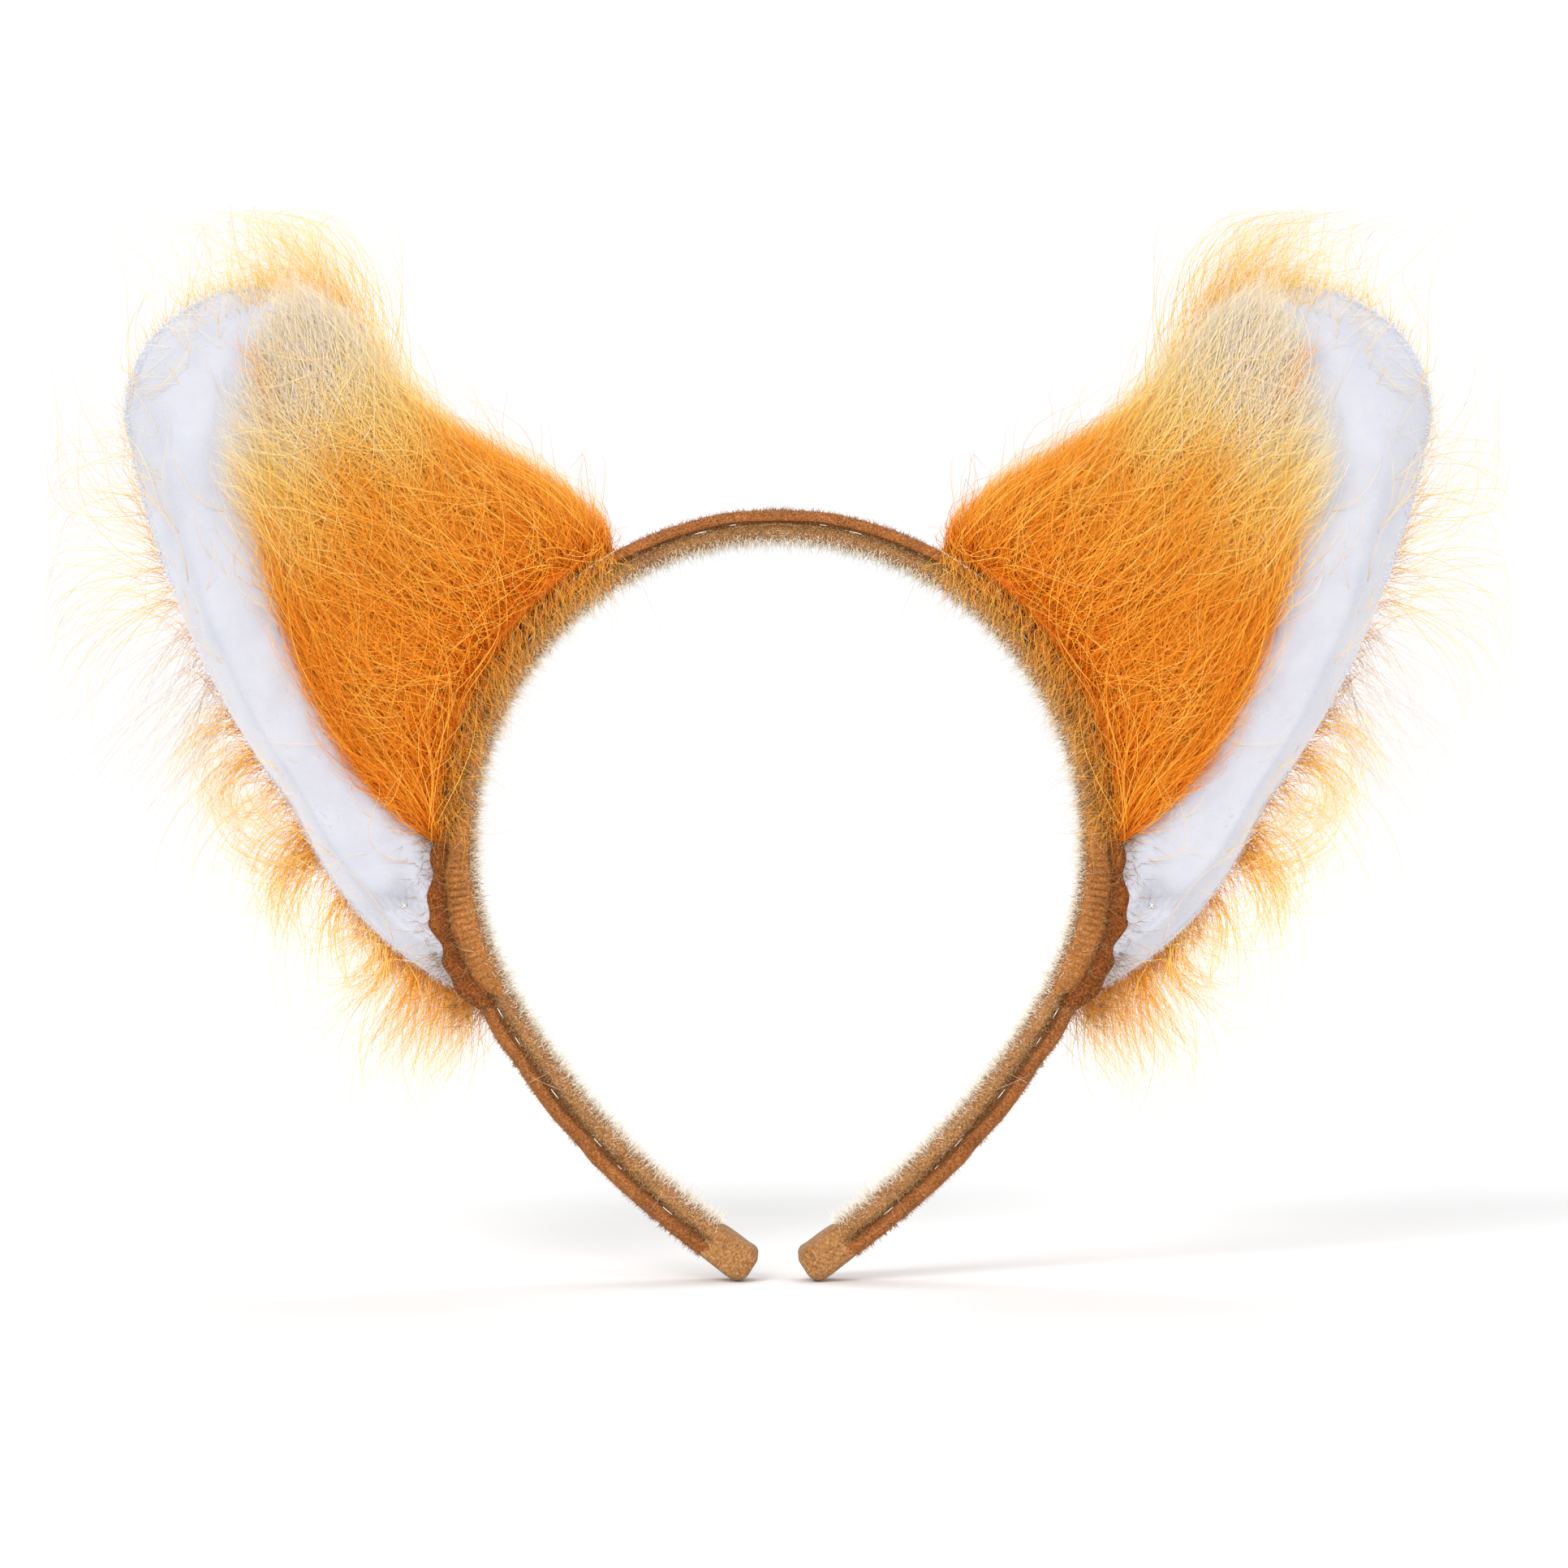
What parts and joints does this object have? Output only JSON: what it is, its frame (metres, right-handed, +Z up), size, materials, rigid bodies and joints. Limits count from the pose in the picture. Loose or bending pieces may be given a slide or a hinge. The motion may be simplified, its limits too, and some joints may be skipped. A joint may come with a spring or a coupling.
{
  "type": "animal ears headband",
  "caption": "Teardrop alice band in a velvet cover and plush lining, with two soft fox ears of long-pile fur and white fleece; its arms spring open and its ears fold.",
  "frame": {"origin": "centre of the round head opening, halfway across the band's width", "axes": "+X to the right as seen from the front, +Y to the back, +Z up to the crown; the front faces -Y"},
  "size_m": [0.2696, 0.022, 0.2034],
  "materials": {
    "velvet_cover": "short-pile velvet",
    "plush_lining": "plush knit",
    "hoop_plastic": "moulded",
    "thread": "spun thread",
    "orange_fur": "long-pile faux fur",
    "white_fleece": "short-pile fleece",
    "felt": "pressed felt",
    "wadding": "fibre wadding"
  },
  "bodies": {
    "crown": {"hoop_crown": "hoop_plastic", "lining_crown": "plush_lining", "cover_crown": "velvet_cover", "edge_stitches_crown": "thread"},
    "left_arm": {"hoop_left_arm": "hoop_plastic", "lining_left_arm": "plush_lining", "cover_left_arm": "velvet_cover", "edge_stitches_left_arm": "thread", "tip_fold_left": "plush_lining", "cover_lip_left": "velvet_cover", "base_tab_left": "felt"},
    "left_ear": {"stiffener_left": "felt", "stuffing_left": "wadding", "back_fur_left": "orange_fur", "front_fur_left": "orange_fur", "fleece_flap_left": "white_fleece", "seam_stitches_left": "thread", "tack_stitch_left": "thread"},
    "right_arm": {"hoop_right_arm": "hoop_plastic", "lining_right_arm": "plush_lining", "cover_right_arm": "velvet_cover", "edge_stitches_right_arm": "thread", "tip_fold_right": "plush_lining", "cover_lip_right": "velvet_cover", "base_tab_right": "felt"},
    "right_ear": {"stiffener_right": "felt", "stuffing_right": "wadding", "back_fur_right": "orange_fur", "front_fur_right": "orange_fur", "fleece_flap_right": "white_fleece", "seam_stitches_right": "thread", "tack_stitch_right": "thread"}
  },
  "joints": [
    {"name": "left_spread", "type": "hinge", "parent": "crown", "child": "left_arm", "pos_m": [-0.01757, 0, 0.06559], "axis": [0, 1, 0], "range_deg": [0, 15], "stiffness_Nm_per_rad": 0.4},
    {"name": "right_spread", "type": "hinge", "parent": "crown", "child": "right_arm", "pos_m": [0.01757, 0, 0.06559], "axis": [0, -1, 0], "range_deg": [0, 15], "stiffness_Nm_per_rad": 0.4},
    {"name": "left_ear_fold", "type": "hinge", "parent": "left_arm", "child": "left_ear", "pos_m": [-0.06685, 0, 0.02044], "axis": [0.2924, 0, 0.9563], "range_deg": [-20, 20], "stiffness_Nm_per_rad": 0.02},
    {"name": "right_ear_fold", "type": "hinge", "parent": "right_arm", "child": "right_ear", "pos_m": [0.06685, 0, 0.02044], "axis": [0.2924, 0, -0.9563], "range_deg": [-20, 20], "stiffness_Nm_per_rad": 0.02}
  ],
  "couplings": [
    {"joint": "right_spread", "follows": "left_spread", "ratio": 1}
  ]
}
